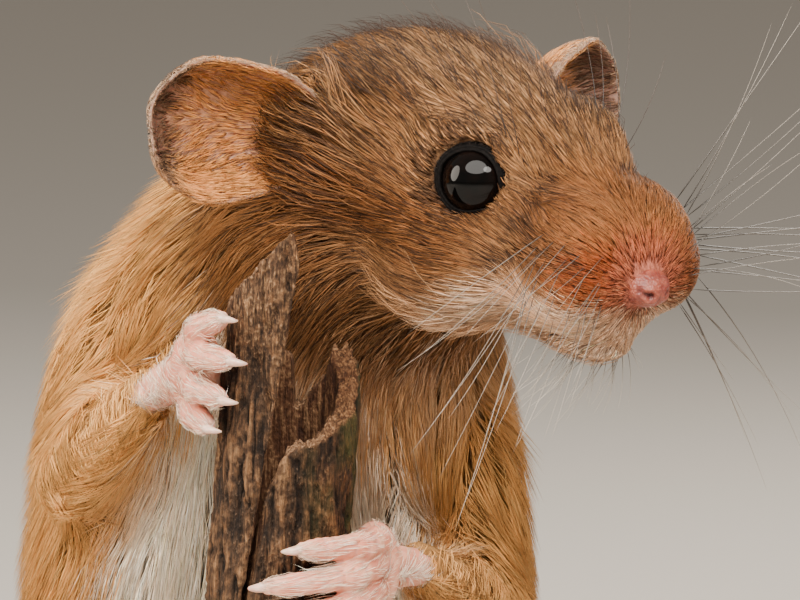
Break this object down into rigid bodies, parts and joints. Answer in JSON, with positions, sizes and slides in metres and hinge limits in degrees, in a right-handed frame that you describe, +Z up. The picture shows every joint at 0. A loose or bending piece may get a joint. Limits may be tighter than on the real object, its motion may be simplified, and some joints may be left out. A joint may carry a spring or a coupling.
{
  "type": "harvest mouse figure",
  "caption": "Life-size harvest mouse clinging to a short broken stem held upright by a plain round display stand.",
  "frame": {"origin": "centre of the stand's flat underside, on the floor", "axes": "+Z up, -Y towards the viewer whom the belly and the stem face, -X the mouse's own right side"},
  "size_m": [0.0576, 0.048, 0.0735],
  "materials": {
    "russet_coat": "short russet fur with dark tips",
    "tawny_coat": "longer tawny fur, whitish below",
    "pale_coat": "short cream-white fur",
    "pink_skin": "bare pink skin with fine hairs",
    "tail_skin": "finely ringed, thinly haired skin",
    "black_eye": "wet gloss black",
    "dry_stem": "dry weathered bark and torn pith",
    "painted_stand": "satin dark grey paint",
    "steel_rod": "brushed"
  },
  "bodies": {
    "root": {"head": "russet_coat", "lower_jaw": "pale_coat", "nose": "pink_skin", "eye_left": "black_eye", "eye_right": "black_eye", "ear_left": "tawny_coat", "ear_right": "tawny_coat", "neck": "tawny_coat", "torso": "tawny_coat", "upper_arm_left": "tawny_coat", "upper_arm_right": "tawny_coat", "forearm_left": "tawny_coat", "forearm_right": "tawny_coat", "hand_left": "pink_skin", "hand_right": "pink_skin", "thigh_left": "tawny_coat", "thigh_right": "tawny_coat", "shank_left": "tawny_coat", "shank_right": "tawny_coat", "foot_left": "pink_skin", "foot_right": "pink_skin", "tail_1": "tail_skin", "tail_2": "tail_skin", "tail_3": "tail_skin", "tail_4": "tail_skin", "tail_5": "tail_skin", "stem": "dry_stem", "stem_shard": "dry_stem", "stand_base": "painted_stand", "stand_rod": "steel_rod"}
  },
  "joints": []
}
